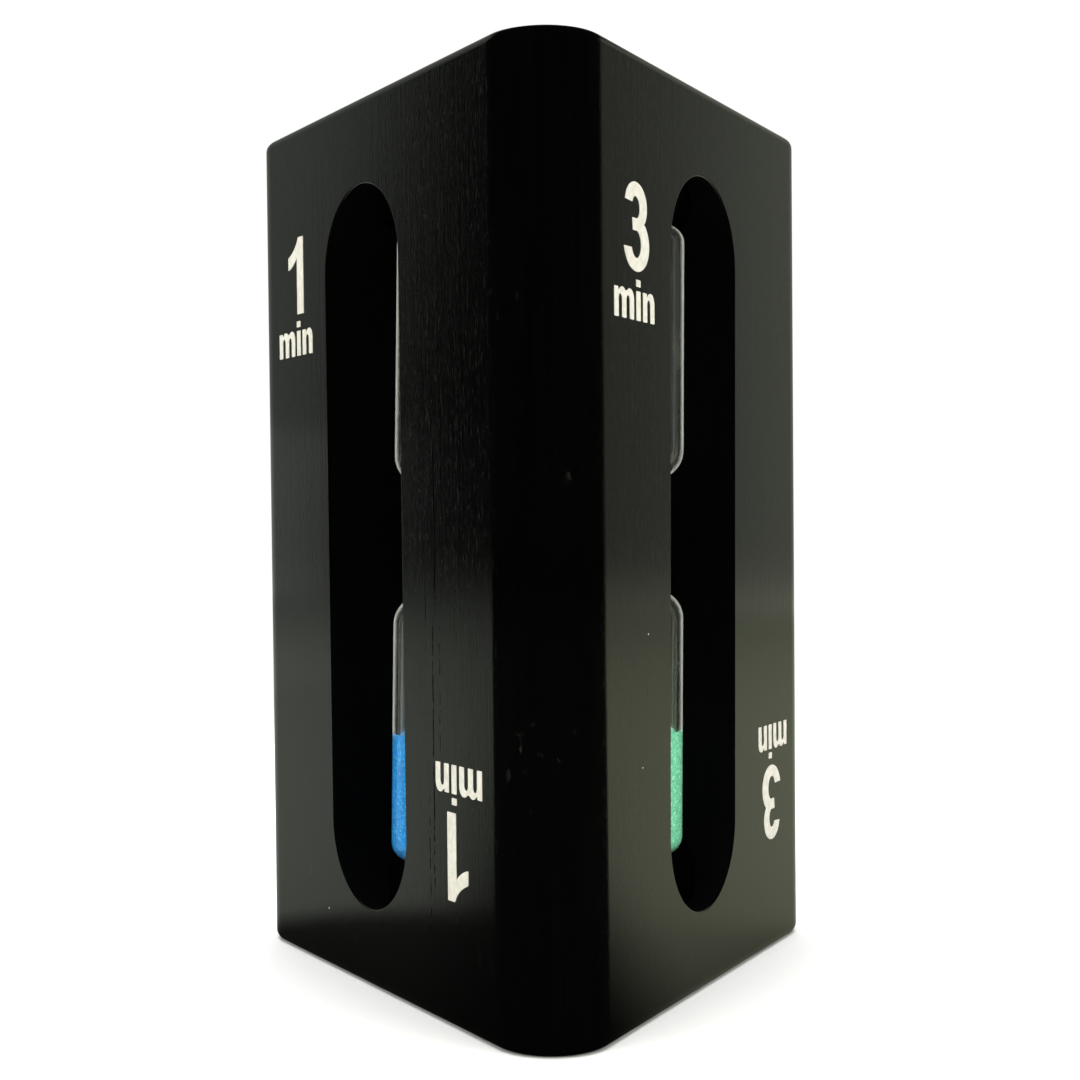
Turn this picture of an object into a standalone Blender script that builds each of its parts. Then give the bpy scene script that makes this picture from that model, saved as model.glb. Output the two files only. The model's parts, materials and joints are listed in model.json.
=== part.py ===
"""Kitchen sand timer: a three-sided wooden block with one sand glass behind each face.

The block stands upright on a flat end and works either way up. Each face has a long slot,
and behind each slot a glass vial stands in a bore drilled from the block's lower end. From
the top of a bore down, it holds a foam ring, the vial with its stopper, a foam pad and a plug.

Frame: metres, +Z up. The origin is on the block's axis at the middle of its lower end. One
corner points to -Y, so the slots face back (+Y), front left and front right. The vials have
room in their bores and two of them lean a little, their tops towards +X.
"""
import bmesh
import bpy
import math
from collections import namedtuple
from mathutils import Matrix, Vector

# Driving dimensions, in metres
HEIGHT = 0.105            # block, end to end
SIDE = 0.0798             # width of a face, between the sharp corners it would have
CORNER_RADIUS = 0.007     # the three upright corners
END_RADIUS = 0.0012       # the edges round both ends
SLOT_WIDTH = 0.0194
SLOT_LENGTH = 0.0853
SLOT_SHIFT = 0.0017       # how far a slot's middle lies left of its face's middle
SLOT_DROP = 0.0005        # how far it lies below the block's middle height
SLOT_DEPTH = 0.011        # from the face to the slot's floor
VIAL_RADIUS = 0.0075
VIAL_LENGTH = 0.0752
VIAL_DEPTH = 0.0116       # from the face back to the vial's axis
WALL = 0.0009             # glass thickness along the bulbs
BORE_SLACK = 0.0011       # radial room round a vial in its bore
GAP = 0.0003              # between pieces that touch
LEAN_ROOM = 0.0002        # more room at a vial's ends, for its lean
PLUG_LENGTH = 0.0075
TOP_LAND = 0.0075         # solid wood left above each bore
SAND_DEPTH = 0.0138       # height of the sand that has run down

# Shape of a vial
END_CORNER = 0.002        # rounding of a vial's flat ends
SHOULDER_RADIUS = 0.0035  # the arc from a bulb's side into its shoulder
SHOULDER_TURN = math.radians(55)
SHOULDER_START = 0.0101   # height above the waist where a bulb stops being straight
NECK_RADIUS = 0.0021
NECK_FILLET = 0.0025
FILL_HOLE_RADIUS = 0.0016

# Stopper in the vial's fill hole
STOPPER_STEM = FILL_HOLE_RADIUS - GAP
STOPPER_HEAD = 0.0028
STOPPER_HEAD_HEIGHT = 0.0012
RING_HOLE_RADIUS = STOPPER_HEAD + BORE_SLACK

# Fineness of the round shapes
TURN_STEPS = 24
ARC_STEPS = 3
CORNER_STEPS = 8
SLOT_STEPS = 12

# Derived dimensions
INRADIUS = SIDE / (2 * math.sqrt(3))
VIAL_OFFSET = INRADIUS - VIAL_DEPTH
BORE_RADIUS = VIAL_RADIUS + BORE_SLACK
FILLER_RADIUS = BORE_RADIUS - GAP
MIDDLE = HEIGHT / 2
VIAL_HALF = VIAL_LENGTH / 2
BORE_TOP = HEIGHT - TOP_LAND
SAND_RADIUS = VIAL_RADIUS - WALL - GAP

# One timer per face: its name, the way its face looks and its vial's lean, both in degrees,
# the radius of the hole through its neck and the colour of its sand. The azimuth is counted
# from +X and the lean from +Z towards +X. A longer time takes a finer hole.
Timer = namedtuple("Timer", "name azimuth lean neck_hole sand_colour")
TIMERS = (
    Timer("1min", 210, 1.2, 0.0009, (0.07, 0.35, 0.77)),
    Timer("3min", 330, 0.6, 0.0007, (0.26, 0.72, 0.44)),
    Timer("5min", 90, 0.0, 0.0005, (0.80, 0.16, 0.08)),
)

BLACK_PAINT = ("black_paint", (0.035, 0.037, 0.031), 0.55, 0.0)
CLEAR_GLASS = ("clear_glass", (0.90, 0.93, 0.91), 0.03, 0.0)
BLACK_FOAM = ("black_foam", (0.012, 0.012, 0.012), 0.95, 0.0)
STOPPER_RUBBER = ("stopper_rubber", (0.62, 0.60, 0.55), 0.60, 0.0)


def clear_scene():
    for obj in list(bpy.data.objects):
        bpy.data.objects.remove(obj, do_unlink=True)


def material(name, colour, roughness, metallic):
    """The Principled material of that name, made on first use."""
    if name in bpy.data.materials:
        return bpy.data.materials[name]
    made = bpy.data.materials.new(name)
    made.use_nodes = True
    shader = made.node_tree.nodes["Principled BSDF"]
    shader.inputs["Base Color"].default_value = (*colour, 1.0)
    shader.inputs["Roughness"].default_value = roughness
    shader.inputs["Metallic"].default_value = metallic
    made.diffuse_color = (*colour, 1.0)
    return made


def new_object(name, shape, finish, smooth_below=math.radians(40)):
    """Puts a bmesh into a named object with one material."""
    mesh = bpy.data.meshes.new(name)
    shape.to_mesh(mesh)
    shape.free()
    mesh.shade_smooth()
    mesh.set_sharp_from_angle(angle=smooth_below)
    mesh.materials.append(material(*finish))
    obj = bpy.data.objects.new(name, mesh)
    bpy.context.scene.collection.objects.link(obj)
    return obj


def arc(centre, radius, start, end, steps):
    """Points along an arc in (across, up), from one angle to another in radians."""
    turns = [start + (end - start) * step / steps for step in range(steps + 1)]
    return [(centre[0] + radius * math.cos(t), centre[1] + radius * math.sin(t)) for t in turns]


def turned(name, profile, finish, closed=False):
    """A solid spun about its own upright axis from a profile of (radius, height) points.

    The profile runs from the axis back to the axis, or closes on itself for a ring.
    """
    shape = bmesh.new()
    points = [shape.verts.new((radius, 0.0, height)) for radius, height in profile]
    pairs = list(zip(points, points[1:]))
    if closed:
        pairs.append((points[-1], points[0]))
    edges = [shape.edges.new(pair) for pair in pairs]
    bmesh.ops.spin(shape, geom=points + edges, cent=(0, 0, 0), axis=(0, 0, 1),
                   angle=2 * math.pi, steps=TURN_STEPS, use_merge=True)
    bmesh.ops.remove_doubles(shape, verts=shape.verts, dist=1e-6)
    bmesh.ops.recalc_face_normals(shape, faces=shape.faces)
    return new_object(name, shape, finish)


def extruded(name, outline, low, high, finish):
    """An upright prism from an outline of (x, y) points, between two heights."""
    shape = bmesh.new()
    base = shape.faces.new([shape.verts.new((x, y, low)) for x, y in outline])
    grown = bmesh.ops.extrude_face_region(shape, geom=[base])["geom"]
    lifted = [item for item in grown if isinstance(item, bmesh.types.BMVert)]
    bmesh.ops.translate(shape, verts=lifted, vec=(0, 0, high - low))
    bmesh.ops.recalc_face_normals(shape, faces=shape.faces)
    return new_object(name, shape, finish)


def cutter(obj):
    """Marks a helper that only cuts other objects."""
    obj.hide_render = True
    obj.display_type = "WIRE"
    return obj


def cut(target, tool):
    step = target.modifiers.new("cut_" + tool.name, "BOOLEAN")
    step.operation = "DIFFERENCE"
    step.solver = "EXACT"
    step.object = cutter(tool)


def facing(azimuth):
    """Direction of a face that looks to that azimuth, in degrees from +X."""
    angle = math.radians(azimuth)
    return Vector((math.cos(angle), math.sin(angle), 0.0))


def triangle_outline():
    """The block's section: an equilateral triangle about the axis with three round corners."""
    reach = 2 * INRADIUS - 2 * CORNER_RADIUS  # from the axis to each corner arc's centre
    outline = []
    for azimuth in (270, 30, 150):
        centre = facing(azimuth) * reach
        middle = math.radians(azimuth)
        half_turn = math.radians(60)
        outline += arc((centre.x, centre.y), CORNER_RADIUS, middle - half_turn,
                       middle + half_turn, CORNER_STEPS)
    return outline


def slot_cutter(timer):
    """A stadium prism standing in from one face, a little left of the face's middle."""
    radius = SLOT_WIDTH / 2
    rise = SLOT_LENGTH / 2 - radius
    outline = arc((0, rise), radius, 0, math.pi, SLOT_STEPS)
    outline += arc((0, -rise), radius, math.pi, 2 * math.pi, SLOT_STEPS)
    tool = extruded("slot_cutter_" + timer.name, outline, -SLOT_DEPTH, SLOT_DEPTH, BLACK_PAINT)
    outward = facing(timer.azimuth)
    up = Vector((0, 0, 1))
    across = up.cross(outward)  # to the right for someone facing the slot
    stand_up = Matrix((across, up, outward)).transposed().to_4x4()
    place = outward * INRADIUS - across * SLOT_SHIFT + up * (MIDDLE - SLOT_DROP)
    tool.matrix_world = Matrix.Translation(place) @ stand_up
    return tool


def bore_cutter(timer):
    """The bore for one vial, open at the block's lower end and blind at its top."""
    below = -END_RADIUS
    profile = [(0, below), (BORE_RADIUS, below), (BORE_RADIUS, BORE_TOP), (0, BORE_TOP)]
    tool = turned("bore_cutter_" + timer.name, profile, BLACK_PAINT)
    tool.location = facing(timer.azimuth) * VIAL_OFFSET
    return tool


def make_block():
    block = extruded("block", triangle_outline(), 0, HEIGHT, BLACK_PAINT)
    ends = block.modifiers.new("round_ends", "BEVEL")
    ends.limit_method = "ANGLE"
    ends.angle_limit = math.radians(60)
    ends.width = END_RADIUS
    ends.segments = 4
    for timer in TIMERS:
        cut(block, bore_cutter(timer))
        cut(block, slot_cutter(timer))


def in_bore(piece, timer, height):
    """Stands a turned piece in a bore, its own zero at that height."""
    piece.location = facing(timer.azimuth) * VIAL_OFFSET + Vector((0, 0, height))


def on_vial(piece, timer, along):
    """Sets a turned piece on a vial's leaning axis, its own zero that far above the waist."""
    lean = math.radians(timer.lean)
    piece.rotation_euler.y = lean
    axis = Vector((math.sin(lean), 0, math.cos(lean)))
    piece.location = facing(timer.azimuth) * VIAL_OFFSET + Vector((0, 0, MIDDLE)) + axis * along


def half_bulb(radius, waist_radius, shoulder, corner, end):
    """One half of a vial's outline, as (radius, height) points up from its waist.

    It runs up the neck, round the neck's fillet, along a short cone, round the shoulder's arc,
    up the bulb's straight side, and round the corner to the fill hole in the flat end.
    """
    centre = radius - shoulder
    joint = centre + shoulder * math.cos(SHOULDER_TURN)
    joint_height = SHOULDER_START - shoulder * math.sin(SHOULDER_TURN)
    leave = waist_radius + NECK_FILLET * (1 - math.cos(SHOULDER_TURN))
    leave_height = joint_height - (joint - leave) / math.tan(SHOULDER_TURN)
    fillet_height = leave_height - NECK_FILLET * math.sin(SHOULDER_TURN)
    outline = arc((waist_radius + NECK_FILLET, fillet_height), NECK_FILLET, math.pi,
                  math.pi - SHOULDER_TURN, ARC_STEPS)
    outline += arc((centre, SHOULDER_START), shoulder, -SHOULDER_TURN, 0, ARC_STEPS)
    outline += arc((radius - corner, end - corner), corner, 0, math.pi / 2, ARC_STEPS)
    outline.append((FILL_HOLE_RADIUS, end))
    return outline


def mirrored(outline):
    """The same outline below the waist, without the fill hole, from the end up."""
    return [(radius, -height) for radius, height in reversed(outline[:-1])]


def make_vial(timer):
    """A turned glass vial: two bulbs and a neck, open only at the fill hole in its top end."""
    outside = half_bulb(VIAL_RADIUS, NECK_RADIUS, SHOULDER_RADIUS, END_CORNER, VIAL_HALF)
    inside = half_bulb(VIAL_RADIUS - WALL, timer.neck_hole, SHOULDER_RADIUS - WALL,
                       END_CORNER - WALL, VIAL_HALF - WALL)
    profile = [(0, -VIAL_HALF)] + mirrored(outside) + outside
    profile += list(reversed(mirrored(inside) + inside)) + [(0, WALL - VIAL_HALF)]
    on_vial(turned("glass_vial_" + timer.name, profile, CLEAR_GLASS), timer, 0)


def make_stopper(timer):
    """A stem in the fill hole and a flat head on the vial's end. Its zero is at that end."""
    head_top = GAP + STOPPER_HEAD_HEIGHT
    profile = [(0, -WALL), (STOPPER_STEM, -WALL), (STOPPER_STEM, GAP), (STOPPER_HEAD, GAP),
               (STOPPER_HEAD, head_top), (0, head_top)]
    on_vial(turned("vial_stopper_" + timer.name, profile, STOPPER_RUBBER), timer, VIAL_HALF)


def make_sand(timer):
    """The charge of sand lying in the lower bulb. Its own zero is at its foot."""
    corner = END_CORNER - WALL
    profile = [(0, 0)] + arc((SAND_RADIUS - corner, corner), corner, -math.pi / 2, 0, ARC_STEPS)
    profile += [(SAND_RADIUS, SAND_DEPTH), (0, SAND_DEPTH)]
    finish = ("sand_" + timer.name, timer.sand_colour, 0.9, 0.0)
    on_vial(turned("sand_" + timer.name, profile, finish), timer, WALL + GAP - VIAL_HALF)


def make_foam_ring(timer):
    """Between the vial and the bore's top, with a hole that clears the stopper's head."""
    low = MIDDLE + VIAL_HALF + GAP + LEAN_ROOM
    length = BORE_TOP - GAP - low
    profile = [(RING_HOLE_RADIUS, 0), (FILLER_RADIUS, 0), (FILLER_RADIUS, length),
               (RING_HOLE_RADIUS, length)]
    ring = turned("foam_ring_" + timer.name, profile, BLACK_FOAM, closed=True)
    in_bore(ring, timer, low)


def make_disc(name, timer, low, high, finish):
    """A plain round piece that fills the bore between two heights."""
    profile = [(0, 0), (FILLER_RADIUS, 0), (FILLER_RADIUS, high - low), (0, high - low)]
    in_bore(turned(name + timer.name, profile, finish), timer, low)


def main():
    clear_scene()
    make_block()
    pad_top = MIDDLE - VIAL_HALF - GAP - LEAN_ROOM
    for timer in TIMERS:
        make_vial(timer)
        make_stopper(timer)
        make_sand(timer)
        make_foam_ring(timer)
        make_disc("foam_pad_", timer, PLUG_LENGTH + GAP, pad_top, BLACK_FOAM)
        make_disc("bore_plug_", timer, 0, PLUG_LENGTH, BLACK_PAINT)


main()
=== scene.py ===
"""Kitchen sand timer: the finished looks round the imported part.

A three-sided wooden block in black paint stands on one end. Behind the slot in each face stands
a glass vial with coloured sand, and each face is printed twice with the time its sand takes.
"""
import json
import math

import bmesh
import bpy
import numpy as np
from mathutils import Matrix, Vector


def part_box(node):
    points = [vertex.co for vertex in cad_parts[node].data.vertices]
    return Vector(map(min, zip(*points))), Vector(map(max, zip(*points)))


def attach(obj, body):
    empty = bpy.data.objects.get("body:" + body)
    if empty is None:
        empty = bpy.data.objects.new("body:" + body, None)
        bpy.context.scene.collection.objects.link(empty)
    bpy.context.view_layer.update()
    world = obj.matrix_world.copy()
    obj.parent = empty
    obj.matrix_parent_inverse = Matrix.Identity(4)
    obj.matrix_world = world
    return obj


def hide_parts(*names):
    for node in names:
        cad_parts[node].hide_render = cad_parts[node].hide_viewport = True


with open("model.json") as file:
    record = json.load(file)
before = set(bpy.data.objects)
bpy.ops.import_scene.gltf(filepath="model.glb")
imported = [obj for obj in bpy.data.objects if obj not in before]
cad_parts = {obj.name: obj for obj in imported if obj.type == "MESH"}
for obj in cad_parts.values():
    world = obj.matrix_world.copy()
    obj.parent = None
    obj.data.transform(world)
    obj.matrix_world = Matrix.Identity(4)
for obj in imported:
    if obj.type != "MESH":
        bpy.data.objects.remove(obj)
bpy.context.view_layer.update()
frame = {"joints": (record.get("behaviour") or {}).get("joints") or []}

MM = 0.001
rng = np.random.default_rng(7)

# ---------------------------------------------------------------- sizes

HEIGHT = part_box("block")[1].z
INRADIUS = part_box("block")[1].y   # from the block's axis to a face
MIDDLE = HEIGHT / 2
INK = 0.06 * MM                   # how far the print stands proud of the paint
CORNER_RADIUS = 7.0 * MM
END_RADIUS = 1.2 * MM
RIM_RADIUS = 0.20 * MM            # the eased edge round a slot
SLOT_WIDTH = 19.1 * MM
SLOT_LENGTH = 85.3 * MM
SLOT_SHIFT = 1.7 * MM
SLOT_DROP = 0.5 * MM
SLOT_DEPTH = 11.0 * MM
VIAL_RADIUS = 7.5 * MM
VIAL_HALF = 37.6 * MM
WALL = 0.9 * MM
BORE_RADIUS = 8.6 * MM
END_CORNER = 2.0 * MM
SHOULDER_RADIUS = 3.5 * MM
SHOULDER_TURN = math.radians(55)
SHOULDER_START = 10.1 * MM
NECK_RADIUS = 2.1 * MM
NECK_FILLET = 2.5 * MM
FILL_HOLE = 1.6 * MM
SAND_PRESS = 0.01 * MM            # how far the sand is drawn into the glass it lies against
SAND_DEPTH = {"1min": 14.45 * MM, "3min": 14.1 * MM, "5min": 14.3 * MM}

EMPTY_FROM, EMPTY_FULL = 29.0, 30.2   # between these heights, in mm, the glass passes from full to empty, and the painted highlight on its rim fades in
RING_SLACK = 0.02 * MM            # how far a foam ring stands clear of its bore
DISC_SLACK = 0.03 * MM            # and a foam pad or a plug
RING_SWELL = 0.25 * MM            # how much thicker a foam ring is drawn, squeezed against the vial
PAD_SWELL = 0.2 * MM              # and a foam pad, at each side
INK_EDGE = 0.03 * MM              # half the ink's thickness, and the radius of its edge
LABEL_SIDE = 19.85 * MM           # a numeral's middle, to the left of a face's middle and above it
LABEL_RISE = 33.75 * MM
WORD_DROP = 10.02                 # in mm, as are all the sizes of figures and letters below
WORD_SHIFT = 0.65
NUMERAL_MIDDLE = 4.8

FACES = {  # which way each face looks, and the radius of the hole through its vial's neck
    "1min": (210, 0.9 * MM),
    "3min": (330, 0.7 * MM),
    "5min": (90, 0.5 * MM),
}
SLOT_TURN = {"1min": 0.3, "3min": -1.0, "5min": 0.0}   # degrees off upright, seen from outside
WAIST_RISE = {"1min": 0.2 * MM, "3min": 0.8 * MM, "5min": 0.0}   # how far a waist stands off centre
FOOT_DROP = {"1min": 0.6 * MM, "3min": 0.0, "5min": 0.0}   # how far the vial has sunk into its pad
JOINTS = {joint["name"]: joint for joint in frame["joints"]}


def facing(azimuth):
    """The level direction at that angle round from +X, in degrees."""
    return np.array([math.cos(math.radians(azimuth)), math.sin(math.radians(azimuth)), 0.0])


def face_place(name):
    """Axes of a face as a matrix: across to the viewer's right, up, and outward."""
    outward = Vector(facing(FACES[name][0]))
    up = Vector((0, 0, 1))
    across = up.cross(outward)
    turn = Matrix((across, up, outward)).transposed().to_4x4()
    return Matrix.Translation(outward * INRADIUS + up * MIDDLE) @ turn


def bore_place(name, height):
    """A bore's axis, with zero at that height; the plug stands on it."""
    low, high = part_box("bore_plug_" + name)
    return Matrix.Translation(Vector(((low.x + high.x) / 2, (low.y + high.y) / 2, height)))


def vial_place(name, along):
    """A vial's leaning axis, with zero that far along it from the waist."""
    axis = Vector(JOINTS["sand_fall_" + name]["axis"]).normalized()
    tilt = Vector((0, 0, 1)).rotation_difference(axis).to_matrix().to_4x4()
    return bore_place(name, MIDDLE) @ tilt @ Matrix.Translation((0, 0, along))


# ---------------------------------------------------------------- surfaces

def arc(centre, radii, start, end, steps):
    """Points on an ellipse: centre plus (rx cos t, ry sin t), t running evenly from one angle to another.

    Angles are in degrees."""
    turn = np.radians(np.linspace(start, end, steps + 1))
    rx, ry = (radii, radii) if np.isscalar(radii) else radii
    return np.stack([centre[0] + rx * np.cos(turn), centre[1] + ry * np.sin(turn)], axis=-1)


def put(name, mesh, smooth=35):
    """Welds a mesh, turns its faces outward, shades it and links it at the origin."""
    shape = bmesh.new()
    shape.from_mesh(mesh)
    bmesh.ops.remove_doubles(shape, verts=shape.verts, dist=1e-8)
    bmesh.ops.recalc_face_normals(shape, faces=shape.faces)
    shape.to_mesh(mesh)
    shape.free()
    mesh.shade_smooth()
    mesh.set_sharp_from_angle(angle=math.radians(smooth))
    piece = bpy.data.objects.new(name, mesh)
    bpy.context.scene.collection.objects.link(piece)
    return piece


def skin(name, grid, place=None, caps=False, smooth=35):
    """A mesh over grid[i, j]: each point joins its neighbours in both directions and j closes on itself.

    A row whose points all meet is a pole. With caps, the first and last rows get a flat face."""
    rows, columns = grid.shape[:2]
    if place is not None:
        turn = np.array(place)
        grid = grid @ turn[:3, :3].T + turn[:3, 3]
    index = np.arange(rows * columns).reshape(rows, columns)
    beside = np.roll(index, -1, axis=1)
    faces = np.stack([index[:-1], beside[:-1], beside[1:], index[1:]], axis=-1).reshape(-1, 4).tolist()
    if caps:
        faces += [index[0, ::-1].tolist(), index[-1].tolist()]
    mesh = bpy.data.meshes.new(name)
    mesh.from_pydata(grid.reshape(-1, 3).tolist(), [], faces)
    return put(name, mesh, smooth)


def turned(name, profile, place, steps=96, smooth=35):
    """A solid of revolution: the profile (r, h) goes to (r cos a, r sin a, h) for a round the axis."""
    angle = np.linspace(0, 2 * math.pi, steps, endpoint=False)
    radius, height = profile[:, :1], profile[:, 1:]
    grid = np.stack([radius * np.cos(angle), radius * np.sin(angle), height + 0 * angle], axis=-1)
    return skin(name, grid, place, smooth=smooth)


def finished(piece, material, body, slot, *nodes):
    """Gives a piece its material and its body, and hides the part nodes it stands for; slot is not used."""
    piece.data.materials.clear()
    piece.data.materials.append(material)
    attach(piece, body)
    if nodes:
        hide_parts(*nodes)
    return piece


# ---------------------------------------------------------------- shader maths

class Value:
    """A number coming out of a socket; arithmetic on it adds Math nodes."""

    def __init__(self, finish, socket):
        self.finish, self.socket = finish, socket

    def math(self, operation, *others, **settings):
        sockets = dict(enumerate((self,) + others))
        return self.finish.number("ShaderNodeMath", {"operation": operation, **settings}, sockets)

    def __add__(self, other):
        return self.math("ADD", other)

    __radd__ = __add__

    def __sub__(self, other):
        return self.math("SUBTRACT", other)

    def __rsub__(self, other):
        return (self * -1) + other

    def __mul__(self, other):
        return self.math("MULTIPLY", other)

    __rmul__ = __mul__

    def __pow__(self, other):
        return self.math("POWER", other)

    def __abs__(self):
        return self.math("ABSOLUTE")

    def step(self, low, high):
        """0 below low, 1 above high, eased between; the other way up when high is below low."""
        sockets = {"Value": self, "From Min": low, "From Max": high}
        settings = {"interpolation_type": "SMOOTHSTEP"}
        return self.finish.number("ShaderNodeMapRange", settings, sockets, "Result")


class Finish:
    """A material whose Principled shader is fed by nodes."""

    def __init__(self, name, **plain):
        self.material = bpy.data.materials.new(name)
        self.material.use_nodes = True
        self.tree = self.material.node_tree
        self.shader = self.tree.nodes["Principled BSDF"]
        self.out = self.tree.nodes["Material Output"]
        for socket, value in plain.items():
            self.feed(self.shader.inputs[socket.replace("_", " ")], value)
        self.place = self.node("ShaderNodeTexCoord").outputs["Object"]

    def feed(self, socket, value):
        if isinstance(value, Value):
            value = value.socket
        if isinstance(value, bpy.types.NodeSocket):
            self.tree.links.new(value, socket)
        elif isinstance(value, tuple) and len(value) == 3 and socket.type == "RGBA":
            socket.default_value = (*value, 1.0)
        else:
            socket.default_value = value

    def node(self, kind, settings=None, sockets=None):
        made = self.tree.nodes.new(kind)
        for key, value in (settings or {}).items():
            if key == "stops":
                ramp = made.color_ramp
                for at, colour in value[2:]:
                    ramp.elements.new(at)
                for element, (at, colour) in zip(ramp.elements, value):
                    element.position, element.color = at, (*colour, 1.0)
            else:
                setattr(made, key, value)
        for key, value in (sockets or {}).items():
            self.feed(made.inputs[key], value)
        return made

    def number(self, kind, settings=None, sockets=None, output=0):
        return Value(self, self.node(kind, settings, sockets).outputs[output])

    def scaled(self, scale, shift=(0, 0, 0)):
        """Object coordinates in millimetres, times a scale for each axis."""
        sockets = {"Vector": self.place, "Scale": tuple(1000 * part for part in scale), "Location": shift}
        return self.node("ShaderNodeMapping", {}, sockets).outputs["Vector"]

    def noise(self, scale, shift=(0, 0, 0), detail=2.0, rough=0.5):
        sockets = {"Vector": self.scaled(scale, shift), "Scale": 1.0, "Detail": detail, "Roughness": rough}
        return self.number("ShaderNodeTexNoise", {}, sockets)

    def cells(self, scale, shift=(0, 0, 0), feature="F1"):
        """A Voronoi node: its Distance and its Color, a random one for each cell."""
        sockets = {"Vector": self.scaled(scale, shift), "Scale": 1.0}
        return self.node("ShaderNodeTexVoronoi", {"feature": feature}, sockets)

    def axis(self, name):
        """One of the object coordinates, in millimetres."""
        split = self.node("ShaderNodeSeparateXYZ", {}, {0: self.scaled((1, 1, 1))})
        return Value(self, split.outputs[name])

    def along(self, direction):
        """Distance along a direction from the origin, in millimetres."""
        sockets = {0: self.scaled((1, 1, 1)), 1: tuple(direction)}
        return self.number("ShaderNodeVectorMath", {"operation": "DOT_PRODUCT"}, sockets, "Value")

    def mix(self, share, first, second):
        sockets = {0: share, 6: first, 7: second}
        return self.node("ShaderNodeMix", {"data_type": "RGBA"}, sockets).outputs[2]

    def bump(self, height, distance, below=None):
        """Relief of that many millimetres for a height of 1, on top of any relief below it."""
        sockets = {"Height": height, "Distance": distance * MM, "Strength": 1.0}
        if below is not None:
            sockets["Normal"] = below
        return self.node("ShaderNodeBump", {}, sockets).outputs["Normal"]

    def set(self, **sockets):
        for name, value in sockets.items():
            self.feed(self.shader.inputs[name.replace("_", " ")], value)
        return self.material


def random_of(finish, cells):
    """One random number for each Voronoi cell."""
    return Value(finish, finish.node("ShaderNodeSeparateColor", {}, {0: cells.outputs["Color"]}).outputs[0])


# ---------------------------------------------------------------- finishes

def black_paint():
    """Thin satin paint on wood: upright grain and fine pores show through, with wear and dust.

    The open grain lines take no gloss: there a dull black stands in for the paint."""
    paint = Finish("black_paint", IOR=1.5, Specular_IOR_Level=0.5)
    long_grain = paint.noise((1.7, 1.7, 0.035), detail=3.0, rough=0.6)
    flecks = paint.noise((5.5, 5.5, 0.9), (3, 1, 0), detail=3.0, rough=0.6)
    pores = paint.noise((4.0, 4.0, 0.8), (1, 7, 2), detail=3.0).step(0.38, 0.28)
    peel = paint.noise((3.4, 3.4, 1.9), (5, 5, 5), detail=4.0, rough=0.65)
    clouds = paint.noise((0.09, 0.09, 0.05), (2, 9, 4), detail=3.0)
    scuff = paint.noise((0.9, 0.9, 0.5), (8, 2, 6), detail=4.0).step(0.62, 0.75) * \
        paint.noise((0.12, 0.12, 0.08), (4, 4, 1)).step(0.55, 0.72)
    dust_cells = paint.cells((0.16, 0.16, 0.16))
    dust = Value(paint, dust_cells.outputs["Distance"]).step(0.022, 0.010) * \
        random_of(paint, dust_cells).step(0.60, 0.62)
    colour = paint.mix(long_grain.step(0.3, 0.75), (0.0002, 0.0002, 0.0002), (0.0006, 0.0007, 0.0005))
    colour = paint.mix(scuff * 0.5, colour, (0.030, 0.030, 0.026))
    colour = paint.mix(dust, colour, (0.55, 0.54, 0.50))
    crack = grain_cracks(paint)
    streaks = paint.noise((4.5, 4.5, 0.22), (9, 3, 5), detail=3.0, rough=0.6).step(0.35, 0.75)
    rough = 0.06 + streaks * 0.09 + clouds * 0.04 + pores * 0.12 + crack * 0.5 + scuff * 0.12 + dust * 0.4
    relief = paint.bump(long_grain, 0.008)
    relief = paint.bump(flecks, 0.008, relief)
    relief = paint.bump(peel, 0.006, relief)
    relief = paint.bump(pores * -1, 0.005, relief)
    paint.set(Base_Color=colour, Roughness=rough, Normal=relief)
    dull = paint.node("ShaderNodeBsdfDiffuse", {}, {"Color": (0.0008, 0.0008, 0.0007)})
    both = paint.node("ShaderNodeMixShader", {}, {
        0: crack * 0.85, 1: paint.shader.outputs[0], 2: dull.outputs[0]})
    paint.feed(paint.out.inputs["Surface"], both.outputs[0])
    return paint.material


def grain_cracks(paint):
    """Open grain lines that the paint has sunk into, near the front corner of the 1 min face.

    Each is a band about a slowly wandering line, with an upper and a lower end, broken up by noise."""
    outward = Vector(facing(FACES["1min"][0]))
    across = paint.along(Vector((0, 0, 1)).cross(outward))
    on_face = paint.along(outward).step(INRADIUS / MM - 0.4, INRADIUS / MM - 0.3)
    height = paint.axis("Z")
    wander = (paint.noise((0.2, 0.2, 0.12), (5, 1, 2), detail=3.0) - 0.5) * 0.7
    ragged = paint.noise((3.0, 3.0, 0.9), (4, 4, 9), detail=3.0)
    cracks = 0.0
    for middle, low, high, half_width in ((15.6, 46, 65, 0.22), (15.0, 14, 44, 0.11), (14.0, 8, 26, 0.09),
                                          (16.5, 30, 60, 0.08), (19.9, 50, 84, 0.07), (13.4, 40, 62, 0.06)):
        line = abs(across - wander - middle).step(half_width * 1.4, half_width * 0.5)
        line = line * height.step(low - 2.0, low + 3.0) * height.step(high + 2.0, high - 3.0)
        cracks = line * ragged.step(0.62 - half_width * 1.5, 0.70 - half_width * 1.5) + cracks
    return cracks * on_face


def inside_paint():
    """The same black, sprayed thin and dry on the walls of the slots and bores."""
    dry = Finish("inside_paint", IOR=1.4, Specular_IOR_Level=0.12)
    fibre = dry.noise((3.0, 3.0, 0.4), (2, 8, 1), detail=3.0)
    colour = dry.mix(fibre, (0.0006, 0.0006, 0.0006), (0.0018, 0.0018, 0.0017))
    return dry.set(Base_Color=colour, Roughness=0.75 + fibre * 0.2, Normal=dry.bump(fibre, 0.02))


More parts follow.
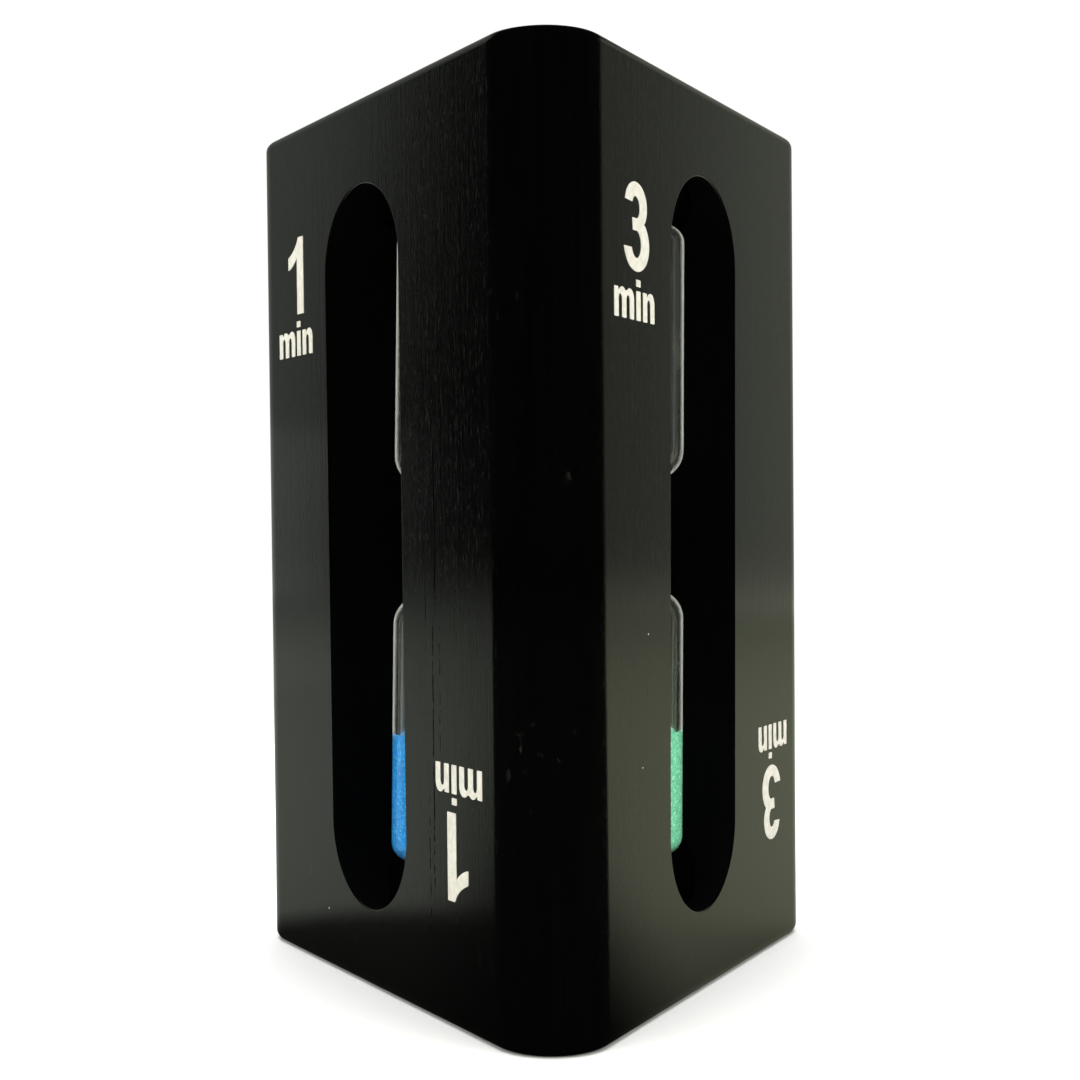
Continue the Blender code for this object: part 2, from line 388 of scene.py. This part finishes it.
def clear_glass():
    """Clear glass with the faint waves of drawn tube; lamps shine through it onto the sand.

    A pale diffuse veil mixed in paints a faint reflection over it, and a painted highlight whitens it where
    it is seen on edge above the sand."""
    glass = Finish("clear_glass", IOR=1.47, Transmission_Weight=1.0, Base_Color=(0.97, 0.985, 0.975))
    waves = glass.noise((0.35, 0.35, 0.05), (6, 2, 3), detail=1.0)
    smudge = glass.noise((0.25, 0.25, 0.18), (1, 5, 9), detail=4.0, rough=0.6).step(0.45, 0.8)
    glass.set(Roughness=smudge * 0.05 + 0.06, Normal=glass.bump(waves, 0.01))
    # painted highlight and painted reflection: a pale diffuse shader mixed into the glass, faintly
    # everywhere, more on smudges, and strongly at the rim where the vial is empty above the sand at rest
    edge = glass.number("ShaderNodeLayerWeight", {}, {"Blend": 0.5}, "Facing").step(0.64, 0.82)
    empty = glass.axis("Z").step(EMPTY_FROM, EMPTY_FULL)
    painted_veil = glass.node("ShaderNodeBsdfDiffuse", {}, {"Color": (0.72, 0.76, 0.68)})
    veiled_glass = glass.node("ShaderNodeMixShader", {}, {
        0: 0.012 + smudge * 0.03 + edge * empty * 0.36, 1: glass.shader.outputs[0], 2: painted_veil.outputs[0]})
    open_glass = glass.node("ShaderNodeBsdfTransparent", {}, {"Color": (0.93, 0.95, 0.94)})
    shadow = glass.node("ShaderNodeLightPath").outputs["Is Shadow Ray"]
    both = glass.node("ShaderNodeMixShader", {}, {0: shadow, 1: veiled_glass.outputs[0], 2: open_glass.outputs[0]})
    glass.feed(glass.out.inputs["Surface"], both.outputs[0])
    return glass.material


def dyed_sand(name, colour, pale):
    """Dyed sand: each grain has its own depth of colour, and the odd one is pale."""
    sand = Finish(name, Specular_IOR_Level=0.35)
    grains = sand.cells((4.4, 4.4, 4.4))
    tone = random_of(sand, grains)
    clump = sand.noise((0.9, 0.9, 0.9), (3, 3, 3), detail=2.0)
    dark = tuple(part * 0.62 for part in colour)
    shade = sand.mix(tone * 0.75 + clump.step(0.3, 0.7) * 0.25, dark, colour)
    shade = sand.mix(tone.step(0.82, 0.90) * 0.7, shade, pale)
    round_top = Value(sand, grains.outputs["Distance"])
    return sand.set(Base_Color=shade, Roughness=0.62 + tone * 0.25,
                    Normal=sand.bump(round_top * -1, 0.09))


def black_foam():
    """Closed foam: round pores of two sizes in a dead black sheet."""
    foam = Finish("black_foam", Specular_IOR_Level=0.02)
    large = Value(foam, foam.cells((2.1, 2.1, 2.1)).outputs["Distance"])
    small = Value(foam, foam.cells((5.5, 5.5, 5.5), (2, 2, 2)).outputs["Distance"])
    pores = large.step(0.15, 0.55) * 0.7 + small.step(0.1, 0.6) * 0.3
    colour = foam.mix(pores, (0.0001, 0.0001, 0.0001), (0.0005, 0.0005, 0.0005))
    return foam.set(Base_Color=colour, Roughness=0.86 + pores * 0.12, Normal=foam.bump(pores, 0.12))


def stopper_rubber():
    """Pale moulded rubber, a little mottled."""
    rubber = Finish("stopper_rubber", Specular_IOR_Level=0.4)
    mottle = rubber.noise((1.1, 1.1, 1.1), (4, 2, 7), detail=4.0)
    colour = rubber.mix(mottle.step(0.3, 0.7), (0.55, 0.52, 0.46), (0.68, 0.66, 0.60))
    grain = rubber.noise((9, 9, 9), detail=2.0)
    return rubber.set(Base_Color=colour, Roughness=0.5 + mottle * 0.2, Normal=rubber.bump(grain, 0.008))


def label_ink():
    """Thick white screen ink: a faint weave, thinner here and there."""
    ink = Finish("label_ink", Specular_IOR_Level=0.35)
    coat = ink.noise((1.3, 1.3, 1.3), (7, 3, 2), detail=4.0, rough=0.6)
    grain = ink.noise((8, 8, 8), (1, 1, 4), detail=2.0)
    colour = ink.mix(coat.step(0.25, 0.7), (0.54, 0.525, 0.45), (0.66, 0.645, 0.57))
    return ink.set(Base_Color=colour, Roughness=0.55 + grain * 0.2, Normal=ink.bump(grain, 0.012))


# ---------------------------------------------------------------- the block

def triangle_outline(inset):
    """The block's section: a triangle with round corners, every side moved in by an inset.

    Each corner is an arc about a centre on the corner's direction; straight sides join them."""
    shrink = INK + inset
    reach = 2 * INRADIUS - 2 * CORNER_RADIUS
    corners = [arc(reach * facing(azimuth)[:2], CORNER_RADIUS - shrink, azimuth - 60, azimuth + 60, 24)
               for azimuth in (270, 30, 150)]
    return np.concatenate(corners)


def block_shell():
    """The block before it is cut: its section carried up, drawn in round each end along a quarter circle."""
    turn = np.radians(np.linspace(0, 90, 9))
    inset = END_RADIUS * (1 - np.sin(turn))
    rise = END_RADIUS * (1 - np.cos(turn))
    insets = np.concatenate([inset, inset[::-1]])
    heights = np.concatenate([rise, HEIGHT - rise[::-1]])
    rings = []
    for step, height in zip(insets, heights):
        outline = triangle_outline(step)
        rings.append(np.c_[outline, np.full(len(outline), height)])
    grid = np.stack(rings)
    return skin("wood_block", grid, caps=True)


def slot_tool(name):
    """Cuts one slot: a stadium carried in from the face, flared by a quarter circle at the rim."""
    turn = np.radians(np.linspace(90, 0, 7))
    flare = np.concatenate([[RIM_RADIUS], RIM_RADIUS * (1 - np.cos(turn)), [0.0]])
    depth = np.concatenate([[2 * MM], RIM_RADIUS * (np.sin(turn) - 1), [-SLOT_DEPTH]])
    rise = (SLOT_LENGTH - SLOT_WIDTH) / 2
    rows = []
    for wider, level in zip(flare, depth):
        radius = SLOT_WIDTH / 2 + wider
        ring = np.concatenate([arc((0, rise), radius, 0, 180, 40), arc((0, -rise), radius, 180, 360, 40)])
        rows.append(np.c_[ring, np.full(len(ring), level - INK)])
    grid = np.stack(rows)
    place = face_place(name) @ Matrix.Translation((-SLOT_SHIFT, -SLOT_DROP, 0)) @ \
        Matrix.Rotation(math.radians(SLOT_TURN[name]), 4, "Z")
    return skin("slot_tool_" + name, grid, place, caps=True)


def bore_tool(name):
    """Cuts one bore: a cylinder from below the block to just past the foam ring."""
    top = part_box("foam_ring_" + name)[1].z + 0.3 * MM
    profile = np.array([(0, -2 * MM), (BORE_RADIUS, -2 * MM), (BORE_RADIUS, top), (0, top)])
    return turned("bore_tool_" + name, profile, bore_place(name, 0))


def wood_block():
    """The shell with all bores and slots cut out, its shading evened over the flat faces."""
    block = block_shell()
    tools = []
    for name in FACES:
        for tool in (bore_tool(name), slot_tool(name)):
            cut = block.modifiers.new("cut", "BOOLEAN")
            cut.operation, cut.solver, cut.object = "DIFFERENCE", "EXACT", tool
            tools.append(tool)
    graph = bpy.context.evaluated_depsgraph_get()
    mesh = bpy.data.meshes.new_from_object(block.evaluated_get(graph))
    for spare in [block] + tools:
        bpy.data.objects.remove(spare, do_unlink=True)
    made = put("wood_block", mesh, smooth=24)
    even = made.modifiers.new("even_shading", "WEIGHTED_NORMAL")
    even.keep_sharp = True
    even.weight = 60
    return made


def line_inside(block, lining):
    """Gives the lining to every face whose middle lies well in from the ends and from all three sides."""
    block.data.materials.append(lining)
    middles = np.empty(len(block.data.polygons) * 3)
    block.data.polygons.foreach_get("center", middles)
    middles = middles.reshape(-1, 3)
    outward = np.stack([facing(azimuth) for azimuth, _ in FACES.values()])
    deep = INRADIUS - (middles @ outward.T).max(axis=1)
    inner = (deep > 0.5 * MM) & (middles[:, 2] > 0.2 * MM) & (middles[:, 2] < HEIGHT - 0.2 * MM)
    rounding = np.linalg.norm(middles[:, :2], axis=1) > 2 * INRADIUS - CORNER_RADIUS - 3 * MM
    ends = (middles[:, 2] < END_RADIUS * 1.5) | (middles[:, 2] > HEIGHT - END_RADIUS * 1.5)
    block.data.polygons.foreach_set("material_index", (inner & ~rounding & ~ends).astype(np.int32))


# ---------------------------------------------------------------- vials and what stands with them

def half_bulb(radius, waist, shoulder, corner, end):
    """Half of a vial's outline, up from the waist: neck fillet, cone, shoulder arc, side, end corner."""
    centre = radius - shoulder
    turn = SHOULDER_TURN
    joint = centre + shoulder * math.cos(turn)
    joint_height = SHOULDER_START - shoulder * math.sin(turn)
    leave = waist + NECK_FILLET * (1 - math.cos(turn))
    leave_height = joint_height - (joint - leave) / math.tan(turn)
    fillet_height = leave_height - NECK_FILLET * math.sin(turn)
    degrees = math.degrees(turn)
    return np.concatenate([
        arc((waist + NECK_FILLET, fillet_height), NECK_FILLET, 180, 180 - degrees, 12),
        arc((centre, SHOULDER_START), shoulder, -degrees, 0, 12),
        arc((radius - corner, end - corner), corner, 0, 90, 10),
        [(FILL_HOLE, end)]])


def mirrored(outline):
    """The same outline turned over in the waist, in the other order and without its end point."""
    return outline[:-1][::-1] * (1, -1)


def glass_vial(name, neck_hole):
    """The vial's wall, turned from an outline up its outside and back down its inside.

    A blown vial's waist is seldom quite central: heights rise by a little there, and less towards the
    ends. Below the lower shoulder heights fall in proportion, by the foot's drop at the end."""
    outside = half_bulb(VIAL_RADIUS, NECK_RADIUS, SHOULDER_RADIUS, END_CORNER, VIAL_HALF)
    inside = half_bulb(VIAL_RADIUS - WALL, neck_hole, SHOULDER_RADIUS - WALL, END_CORNER - WALL,
                       VIAL_HALF - WALL)
    down = np.concatenate([mirrored(inside), inside])[::-1]
    profile = np.concatenate([[(0, -VIAL_HALF)], mirrored(outside), outside, down, [(0, WALL - VIAL_HALF)]])
    share = np.clip((VIAL_HALF - np.abs(profile[:, 1])) / (VIAL_HALF - SHOULDER_START), 0, 1)
    foot = np.clip((-profile[:, 1] - SHOULDER_START) / (VIAL_HALF - SHOULDER_START), 0, 1)
    profile[:, 1] += WAIST_RISE[name] * share - FOOT_DROP[name] * foot
    return turned("vial_" + name, profile, vial_place(name, 0), steps=128, smooth=50)


def stopper(name):
    """A rubber stem in the fill hole and a domed head on the vial's end."""
    stem, head, tall = 1.5 * MM, 2.8 * MM, 1.2 * MM
    low = 0.06 * MM
    profile = np.concatenate([
        [(0, -WALL - 0.2 * MM)], arc((stem - 0.2 * MM, -WALL), 0.2 * MM, -90, 0, 4),
        [(stem, low)], arc((head - 0.25 * MM, low + 0.25 * MM), 0.25 * MM, -90, 0, 4),
        arc((head - 0.5 * MM, tall - 0.3 * MM), 0.5 * MM, 0, 90, 6), [(0, tall + 0.24 * MM)]])
    return turned("stopper_" + name, profile, vial_place(name, VIAL_HALF), steps=48)


def sand_bed(name):
    """Sand lying in the lower bulb: turned, then its top is lifted and dimpled by slow random waves."""
    corner = END_CORNER - WALL
    radius = VIAL_RADIUS - WALL + SAND_PRESS
    side = arc((radius - corner, corner), corner, -90, 0, 8)
    depth = SAND_DEPTH[name]
    climb = np.stack([np.full(40, radius), np.linspace(corner, depth, 41)[1:]], axis=-1)
    across = np.linspace(radius, 0, 30)[1:]
    profile = np.concatenate([[(0, 0)], side, climb, np.stack([across, np.full(29, depth)], axis=-1)])
    place = vial_place(name, WALL - SAND_PRESS - VIAL_HALF - FOOT_DROP[name])
    piece = turned("sand_bed_" + name, profile, place, steps=120)
    back = np.array(place.inverted())
    points = np.empty(len(piece.data.vertices) * 3)
    piece.data.vertices.foreach_get("co", points)
    points = points.reshape(-1, 3)
    own = points @ back[:3, :3].T + back[:3, 3]
    waves = np.zeros(len(own))
    for wave in rng.normal(0, 500, (7, 2)):
        waves += np.sin(own[:, :2] @ wave + rng.uniform(0, 6.3))
    top = np.clip((own[:, 2] - depth + 0.2 * MM) / (0.2 * MM), 0, 1)
    lift = (waves * 0.03 - 0.12 + rng.normal(0, 0.025, len(own))) * MM * top
    points += np.outer(lift, np.array(place)[:3, 2])
    piece.data.vertices.foreach_set("co", points.ravel())
    piece.data.update()
    return piece


def foam_ring(name):
    """A ring between the vial's top end and the blind end of its bore: four quarter circles, turned."""
    low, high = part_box("foam_ring_" + name)
    outer, inner, ease = BORE_RADIUS - RING_SLACK, 3.9 * MM, 0.5 * MM
    tall = high.z - low.z + RING_SWELL
    profile = np.concatenate([
        arc((outer - ease, ease), ease, -90, 0, 5), arc((outer - ease, tall - ease), ease, 0, 90, 5),
        arc((inner + ease, tall - ease), ease, 90, 180, 5), arc((inner + ease, ease), ease, 180, 270, 5)])
    return turned("foam_collar_" + name, np.concatenate([profile, profile[:1]]), bore_place(name, low.z))


def disc(name, kind, low, high, ease):
    """A round plug or pad between two heights, its rims eased by quarter circles."""
    outer, tall = BORE_RADIUS - DISC_SLACK, high - low
    profile = np.concatenate([
        [(0, 0)], arc((outer - ease, ease), ease, -90, 0, 5),
        arc((outer - ease, tall - ease), ease, 0, 90, 5), [(0, tall)]])
    return turned(kind + name, profile, bore_place(name, low))


# ---------------------------------------------------------------- print

def eased(outline, radius=0.10):
    """An outline whose sharp corners are cut back by a radius and rounded; gentle ones are kept.

    A corner p becomes p + a r, a point a quarter of the way in, and p + b r, where a and b point
    along its two edges."""
    back = np.roll(outline, 1, axis=0) - outline
    on = np.roll(outline, -1, axis=0) - outline
    long_back, long_on = (np.linalg.norm(side, axis=1, keepdims=True) for side in (back, on))
    a, b = back / long_back, on / long_on
    sharp = (a * b).sum(axis=1) > -0.80
    cut_back, cut_on = np.minimum(radius, long_back / 2), np.minimum(radius, long_on / 2)
    back_off, on_off = a * cut_back, b * cut_on
    three = np.stack([outline + back_off, outline + (back_off + on_off) / 4, outline + on_off], axis=1)
    keep = np.stack([sharp, np.ones_like(sharp), sharp], axis=1)
    three[~sharp, 1] = outline[~sharp]
    return three[keep]


def bend(first, handle, last, steps=10):
    """A curve from first to last drawn towards a handle: the quadratic mean of the three points."""
    t = np.linspace(0, 1, steps + 1)[:, None]
    first, handle, last = (np.array(p, float) for p in (first, handle, last))
    return (1 - t) ** 2 * first + 2 * t * (1 - t) * handle + t ** 2 * last


def figure_one():
    """A stem with a curved flag at its upper left. Each figure comes with its middle and its outlines."""
    wide, tall, stem = 4.5, 9.65, 1.92
    flag = bend((wide - 1.52, tall), (wide - 2.2, 0.845 * tall), (0.0, 0.765 * tall))
    under = bend((0.0, 0.600 * tall), (1.6, 0.635 * tall), (wide - stem, 0.745 * tall))
    return wide / 2 + 0.35, [np.concatenate([[(wide, 0), (wide, tall)], flag, under, [(wide - stem, 0)]])]


def figure_three():
    """Two bowls on ellipses, one above the other, joined by a short bar to the left."""
    upper_out = arc((3.22, 7.50), (2.92, 2.80), 170, -46, 34)
    lower_out = arc((3.30, 3.10), (3.38, 3.22), 50, -170, 40)
    lower_in = arc((3.22, 3.08), (1.28, 1.62), -162, 75, 34)
    upper_in = arc((3.18, 7.32), (1.02, 1.30), -70, 155, 30)
    bar = [(2.35, 4.62), (2.20, 6.06)]
    outline = np.concatenate([upper_out, lower_out, lower_in, bar, upper_in])
    return 3.2, [outline * (0.95, 0.915) + (0.0, 0.1)]


def figure_five():
    """A top bar and a slanted stem over one bowl."""
    outer = arc((3.30, 3.32), (3.38, 3.42), 104, -168, 46)
    inner = arc((3.20, 3.32), (1.28, 1.80), -160, 128, 40)
    head = [(0.45, 4.75), (1.35, 10.2), (6.25, 10.2), (6.25, 8.45), (2.85, 8.45)]
    return 3.2, [np.concatenate([outer, inner, head]) * (0.95, 0.935) + (0.0, 0.1)]


def arches(count):
    """Letter n for one arch and m for two: a stem, then legs joined to it by round shoulders."""
    stem, span, tall = 1.05, 1.90, 3.15
    line = [[(0.0, 0.0), (0.0, tall), (stem - 0.08, tall), (stem - 0.08, tall - 0.42)]]
    for leg in range(count):
        left = stem + leg * span
        end, steps = (42, 10) if leg < count - 1 else (0, 12)
        line.append(arc((left + 0.92, tall - 1.0), (0.98, 1.08), 128, end, steps))
    right = stem + count * span
    line.append([(right, 0.0), (right - stem, 0.0)])
    for leg in reversed(range(count)):
        left = stem + leg * span
        inside = (span - stem) / 2
        line.append(arc((left + inside, tall - 1.28), (inside, 0.60), 0, 180, 10))
        line.append([(left, 0.0)])
        if leg:
            line.append([(left - stem, 0.0)])
    return right, np.concatenate([np.array(part, float) for part in line])


def word_min():
    """The letters m, i and n on one line, with the dot over the i."""
    wide_m, m = arches(2)
    wide_n, n = arches(1)
    start_i = wide_m + 0.62
    start_n = start_i + 1.08 + 0.62
    box = np.array([(0, 0), (1.08, 0), (1.08, 1), (0, 1)], float)
    stem = box * (1, 3.15) + (start_i, 0)
    dot = box * (1, 0.76) + (start_i, 3.60)
    return start_n + wide_n, [m, stem, dot, n + (start_n, 0)]


def label(name, which, figure, turn):
    """One printed label: flat outlines filled, given a thickness and a soft edge, then set on its face."""
    middle, numeral = figure
    word_wide, word = word_min()
    outlines = [part - (middle, NUMERAL_MIDDLE) for part in numeral]
    outlines += [part - (word_wide / 2 + WORD_SHIFT, WORD_DROP) for part in word]
    curve = bpy.data.curves.new("print", "CURVE")
    curve.dimensions, curve.fill_mode = "2D", "BOTH"
    curve.extrude, curve.bevel_depth, curve.offset = INK_EDGE, INK_EDGE, -INK_EDGE
    curve.bevel_resolution = 2
    for outline in outlines:
        soft = eased(outline) * MM
        spline = curve.splines.new("POLY")
        spline.points.add(len(soft) - 1)
        spline.points.foreach_set("co", np.c_[soft, np.zeros(len(soft)), np.ones(len(soft))].ravel())
        spline.use_cyclic_u = True
    flat = bpy.data.objects.new("print", curve)
    bpy.context.scene.collection.objects.link(flat)
    graph = bpy.context.evaluated_depsgraph_get()
    mesh = bpy.data.meshes.new_from_object(flat.evaluated_get(graph))
    bpy.data.objects.remove(flat)
    spot = Matrix.Rotation(turn, 4, "Z") @ Matrix.Translation((-LABEL_SIDE, LABEL_RISE, -INK))
    mesh.transform(face_place(name) @ spot)
    return put("label_%s_%s" % (name, which), mesh, smooth=30)


# ---------------------------------------------------------------- assembly

paint, glass, foam, rubber, ink = black_paint(), clear_glass(), black_foam(), stopper_rubber(), label_ink()
SANDS = {
    "1min": ("sand_blue", (0.006, 0.385, 1.0), (0.08, 0.66, 1.0)),
    "3min": ("sand_green", (0.26, 0.94, 0.58), (0.62, 0.98, 0.82)),
    "5min": ("sand_red", (0.80, 0.13, 0.07), (0.95, 0.50, 0.40)),
}
FIGURES = {"1min": figure_one, "3min": figure_three, "5min": figure_five}

block = finished(wood_block(), paint, "timer", "black_paint", "block")
line_inside(block, inside_paint())
for name, (azimuth, neck_hole) in FACES.items():
    finished(glass_vial(name, neck_hole), glass, "timer", "clear_glass", "glass_vial_" + name)
    finished(stopper(name), rubber, "timer", "stopper_rubber", "vial_stopper_" + name)
    slot_name, colour, pale = SANDS[name]
    finished(sand_bed(name), dyed_sand(slot_name, colour, pale), "sand_" + name, slot_name, "sand_" + name)
    finished(foam_ring(name), foam, "timer", "black_foam", "foam_ring_" + name)
    low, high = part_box("foam_pad_" + name)
    pad = disc(name, "foam_seat_", low.z - PAD_SWELL, high.z + PAD_SWELL, 0.5 * MM)
    finished(pad, foam, "timer", "black_foam", "foam_pad_" + name)
    low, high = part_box("bore_plug_" + name)
    plug = disc(name, "end_plug_", low.z, high.z, 0.25 * MM)
    finished(plug, paint, "timer", "black_paint", "bore_plug_" + name)
    for which, turn in (("upper", 0.0), ("lower", math.pi)):
        finished(label(name, which, FIGURES[name](), turn), ink, "timer", "label_ink")


# ---------------------------------------------------------------- stage, light and camera

def studio_floor():
    """A wide pale floor that runs into the white backdrop.

    Only where gloss mirrors it does it carry a painted warm tint and painted shade: it is dimmed everywhere,
    but more in a wedge ahead of the block and in a patch beside it. Far out it glows like the backdrop."""
    grid = np.zeros((2, 4, 3))
    grid[1, :, :2] = np.array([(-1, -1), (1, -1), (1, 1), (-1, 1)]) * 4.0
    floor = skin("studio_floor", grid)
    pale = Finish("pale_floor", Specular_IOR_Level=0.0, Roughness=1.0)
    soft = pale.noise((0.004, 0.004, 0.004))
    glossy = Value(pale, pale.node("ShaderNodeLightPath").outputs["Is Glossy Ray"])
    # painted reflection tint: a warmer colour that only glossy rays see
    reflected_tint = pale.mix(pale.axis("X").step(-20, 20), (0.80, 0.87, 0.74), (0.80, 0.86, 0.60))
    white = pale.mix(soft, (0.80, 0.80, 0.80), (0.84, 0.84, 0.84))
    pale.set(Base_Color=pale.mix(glossy, white, reflected_tint))
    # painted shade in reflections: a dark diffuse mixed in for glossy rays, more ahead of the block and in a
    # patch beside it
    dark = pale.node("ShaderNodeBsdfDiffuse", {}, {"Color": (0.01, 0.01, 0.01)})
    shade_wedge = (pale.axis("Y") + 33 - abs(pale.axis("X")) * 0.5).step(12, -6)
    near = ((pale.axis("X") + 28) ** 2 + (pale.axis("Y") + 8) ** 2).step(40.0 ** 2, 24.0 ** 2)
    share = 0.71 + pale.axis("X").step(50, -50) * 0.06
    shade = (1 - shade_wedge) * (1 - near * 0.9) * (share - 1) + 1
    both = pale.node("ShaderNodeMixShader", {}, {
        0: glossy * shade, 1: pale.shader.outputs[0], 2: dark.outputs[0]})
    away = (pale.axis("X") ** 2 + pale.axis("Y") ** 2).step(110.0 ** 2, 330.0 ** 2)
    seen = Value(pale, pale.node("ShaderNodeLightPath").outputs["Is Camera Ray"])
    backdrop = pale.node("ShaderNodeEmission", {}, {"Color": (1.0, 1.0, 1.0), "Strength": 1.02})
    whole = pale.node("ShaderNodeMixShader", {}, {0: seen * away, 1: both.outputs[0], 2: backdrop.outputs[0]})
    pale.feed(pale.out.inputs["Surface"], whole.outputs[0])
    floor.data.materials.append(pale.material)


def softbox(name, azimuth, elevation, distance, width, height, power, glossy=True, tint=(1.0, 1.0, 1.0)):
    """A soft rectangular lamp aimed at the block's middle from that direction."""
    lamp = bpy.data.lights.new(name, "AREA")
    lamp.shape, lamp.size, lamp.size_y, lamp.energy = "RECTANGLE", width, height, power
    lamp.color = tint
    box = bpy.data.objects.new(name, lamp)
    bpy.context.scene.collection.objects.link(box)
    level = math.radians(elevation)
    outward = Vector((*facing(azimuth)[:2] * math.cos(level), math.sin(level)))
    box.location = outward * distance + Vector((0, 0, MIDDLE))
    box.rotation_mode = "QUATERNION"
    box.rotation_quaternion = outward.to_track_quat("Z", "Y")
    box.visible_camera = False
    box.visible_glossy = glossy
    return box


def white_world():
    """White where the camera looks past everything, and nearly dark for every other ray."""
    world = bpy.data.worlds.new("studio")
    world.use_nodes = True
    bpy.context.scene.world = world
    nodes, links = world.node_tree.nodes, world.node_tree.links
    nodes.clear()
    seen = nodes.new("ShaderNodeBackground")
    seen.inputs["Strength"].default_value = 1.02
    dim = nodes.new("ShaderNodeBackground")
    dim.inputs["Color"].default_value = (0.9, 1.0, 0.9, 1)
    dim.inputs["Strength"].default_value = 0.012
    path = nodes.new("ShaderNodeLightPath")
    both = nodes.new("ShaderNodeMixShader")
    out = nodes.new("ShaderNodeOutputWorld")
    seen.inputs["Color"].default_value = (1, 1, 1, 1)
    links.new(path.outputs["Is Camera Ray"], both.inputs[0])
    links.new(dim.outputs[0], both.inputs[1])
    links.new(seen.outputs[0], both.inputs[2])
    links.new(both.outputs[0], out.inputs["Surface"])


def camera():
    """The camera stands in front of the block's upright corner, at the height of its middle."""
    pitch, roll, yaw = -0.0264, 0.0102, 0.0158
    forward = Vector((0, math.cos(pitch), math.sin(pitch)))
    up = Vector((0, -math.sin(pitch), math.cos(pitch)))
    side = Vector((1, 0, 0))
    right = side * math.cos(roll) - up * math.sin(roll)
    top = side * math.sin(roll) + up * math.cos(roll)
    place = Matrix((right, top, -forward)).transposed().to_4x4()
    place.translation = Vector((-0.0356, -2.0248, 0.0179)) * HEIGHT
    place = Matrix.Rotation(-yaw, 4, "Z") @ place
    place.translation += Vector((0, 0, MIDDLE))
    data = bpy.data.cameras.new("camera")
    data.lens, data.sensor_width = 57.191, 36.0
    data.shift_x, data.shift_y = 0.03027, 0.02943
    data.clip_start = 0.01
    made = bpy.data.objects.new("camera", data)
    made.matrix_world = place
    bpy.context.scene.collection.objects.link(made)
    bpy.context.scene.camera = made


studio_floor()
white_world()
softbox("back_left", 122.2, 24, 0.33, 0.34, 0.34, 0.095, tint=(0.93, 1.0, 0.88))
softbox("back_left_low", 122.4, -1.3, 0.32, 0.34, 0.08, 0.009, tint=(0.92, 1.0, 0.93))
softbox("back_right", 49, 6, 0.8, 0.75, 0.8, 0.28, tint=(0.95, 1.0, 0.82))
softbox("back_right_far", 62, 6, 0.8, 0.75, 0.8, 0.32, tint=(0.95, 1.0, 0.82))
softbox("overhead", 90, 80, 1.0, 1.2, 1.2, 26.0, glossy=False)
softbox("front_left", 215, 25, 0.8, 0.6, 0.6, 4.4, glossy=False, tint=(1.0, 0.98, 0.92))
softbox("front_right", 325, 25, 0.8, 0.6, 0.6, 4.7, glossy=False, tint=(1.0, 0.98, 0.92))
camera()
bpy.context.scene.view_settings.view_transform = "Standard"
